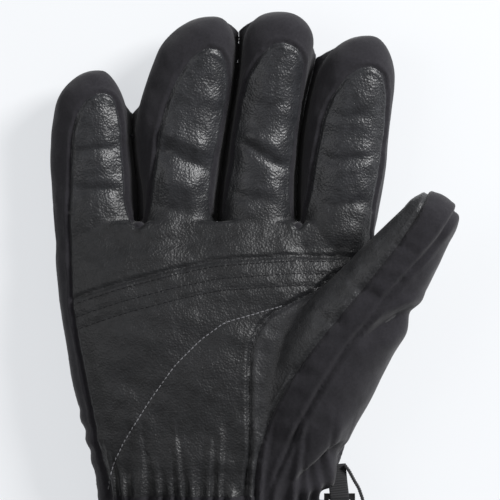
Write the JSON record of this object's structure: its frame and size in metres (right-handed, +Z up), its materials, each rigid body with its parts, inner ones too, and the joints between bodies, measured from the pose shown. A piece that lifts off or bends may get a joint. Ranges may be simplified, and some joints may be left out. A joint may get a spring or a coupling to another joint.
{
  "type": "ski glove",
  "caption": "Insulated right-hand ski glove with leather palm and finger faces, softshell back, shirred wrist, gauntlet cuff and webbing wrist strap with a buckle.",
  "frame": {"origin": "bottom centre of the bounding box, on the surface that the back of the glove lies on", "axes": "+Y from the cuff to the finger tips, +X to the thumb side, +Z up out of the palm"},
  "size_m": [0.1698, 0.306, 0.0569],
  "materials": {
    "leather": "soft black synthetic leather with a fine wrinkled grain, semi-matt",
    "fabric": "black softshell with a matt, close-woven face",
    "wadding": "white synthetic wadding, hidden between the shell and the lining",
    "foam": "grey closed-cell foam, hidden over the knuckles",
    "lining": "dark brushed fleece",
    "elastic": "white knitted elastic, hidden inside the wrist",
    "binding": "black woven tape folded over the hem",
    "webbing": "black ribbed polyester webbing",
    "label": "plain white satin label without print",
    "plastic": "black moulded acetal, satin"
  },
  "bodies": {
    "hand": {"palm_upper_leather": "leather", "palm_lower_leather": "leather", "thumb_root_leather": "leather", "thumb_root_fabric": "fabric", "little_side_fabric": "fabric", "back_fabric": "fabric", "knuckle_foam": "foam", "hand_wadding": "wadding", "hand_lining": "lining", "wrist_shirring": "fabric", "wrist_elastic_tape": "elastic", "wrist_strap": "webbing", "buckle_loop": "webbing"},
    "little": {"little_leather_face": "leather", "little_fabric_back": "fabric", "little_wadding": "wadding", "little_lining": "lining"},
    "ring": {"ring_leather_face": "leather", "ring_fabric_back": "fabric", "ring_wadding": "wadding", "ring_lining": "lining"},
    "middle": {"middle_leather_face": "leather", "middle_fabric_back": "fabric", "middle_wadding": "wadding", "middle_lining": "lining"},
    "index": {"index_leather_face": "leather", "index_fabric_back": "fabric", "index_wadding": "wadding", "index_lining": "lining"},
    "thumb": {"thumb_leather_face": "leather", "thumb_fabric_back": "fabric", "thumb_wadding": "wadding", "thumb_lining": "lining"},
    "cuff": {"cuff_palm_panel": "fabric", "cuff_back_panel": "fabric", "cuff_lining": "lining", "cuff_hem_binding": "binding", "hanging_loop": "webbing", "care_label": "label"},
    "buckle": {"ladder_lock_buckle": "plastic", "strap_threaded": "webbing"},
    "strap_end": {"strap_tail": "webbing", "tail_end_tab": "plastic"}
  },
  "joints": [
    {"name": "little_flex", "type": "hinge", "parent": "hand", "child": "little", "pos_m": [-0.06684, 0.07, 0.0161], "axis": [1, 0, 0], "range_deg": [0, 50], "stiffness_Nm_per_rad": 0.05},
    {"name": "ring_flex", "type": "hinge", "parent": "hand", "child": "ring", "pos_m": [-0.03064, 0.07, 0.0161], "axis": [1, 0, 0], "range_deg": [0, 50], "stiffness_Nm_per_rad": 0.05},
    {"name": "middle_flex", "type": "hinge", "parent": "hand", "child": "middle", "pos_m": [0.00216, 0.07, 0.0161], "axis": [1, 0, 0], "range_deg": [0, 50], "stiffness_Nm_per_rad": 0.05},
    {"name": "index_flex", "type": "hinge", "parent": "hand", "child": "index", "pos_m": [0.03656, 0.07, 0.0161], "axis": [1, 0, 0], "range_deg": [0, 50], "stiffness_Nm_per_rad": 0.05},
    {"name": "thumb_flex", "type": "hinge", "parent": "hand", "child": "thumb", "pos_m": [0.04246, 0.0215, 0.0336], "axis": [0.8, -0.6, 0], "range_deg": [0, 40], "stiffness_Nm_per_rad": 0.05},
    {"name": "wrist_flex", "type": "hinge", "parent": "hand", "child": "cuff", "pos_m": [-0.01854, -0.06, 0.0173], "axis": [1, 0, 0], "range_deg": [-28, 28], "stiffness_Nm_per_rad": 0.3, "deforming": ["wrist_shirring", "wrist_elastic_tape"]},
    {"name": "buckle_pivot", "type": "hinge", "parent": "hand", "child": "buckle", "pos_m": [0.03656, -0.0505, 0.0176], "axis": [1, 0, 0], "range_deg": [-20, 30]},
    {"name": "strap_end_swing", "type": "hinge", "parent": "hand", "child": "strap_end", "pos_m": [0.04176, -0.0385, 0.0176], "axis": [0, 0, 1], "range_deg": [-6, 25], "stiffness_Nm_per_rad": 0.002}
  ]
}
